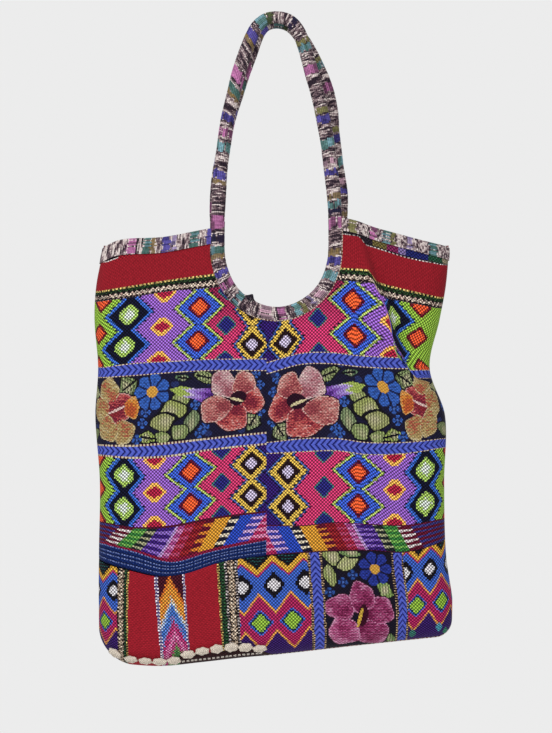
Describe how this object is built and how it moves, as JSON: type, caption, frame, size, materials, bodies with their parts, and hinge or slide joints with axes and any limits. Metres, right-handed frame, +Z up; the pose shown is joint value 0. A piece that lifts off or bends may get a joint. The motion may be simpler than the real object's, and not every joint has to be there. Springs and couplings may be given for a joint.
{
  "type": "huipil tote bag",
  "caption": "Soft tote bag sewn from brocaded huipil cloth, open at the top with a bound scoop and a long padded cloth handle on each wall.",
  "frame": {"origin": "the hook point under the middle of the two handles", "axes": "+Z up along the hanging bag, front wall facing -Y, +X to the right as seen from the front"},
  "size_m": [0.3965, 0.0655, 0.7253],
  "materials": {
    "huipil_cloth": "hand-woven cotton brocade in many colours, matt",
    "huipil_strip": "the same brocade turned on its side, mostly red, matt",
    "jaspe_cloth": "tie-dyed jaspe cotton, flecked, matt",
    "cotton_edging": "off-white crocheted cotton, matt"
  },
  "bodies": {
    "root": {"front_left": "huipil_cloth", "front_right": "huipil_cloth", "front_lower": "huipil_strip", "back_left": "huipil_cloth", "back_right": "huipil_cloth", "back_lower": "huipil_strip", "front_left_top_band": "jaspe_cloth", "front_right_top_band": "jaspe_cloth", "back_left_top_band": "jaspe_cloth", "back_right_top_band": "jaspe_cloth", "front_neck_binding": "jaspe_cloth", "back_neck_binding": "jaspe_cloth", "front_handle": "jaspe_cloth", "back_handle": "jaspe_cloth", "cotton_edging": "cotton_edging"}
  },
  "joints": []
}
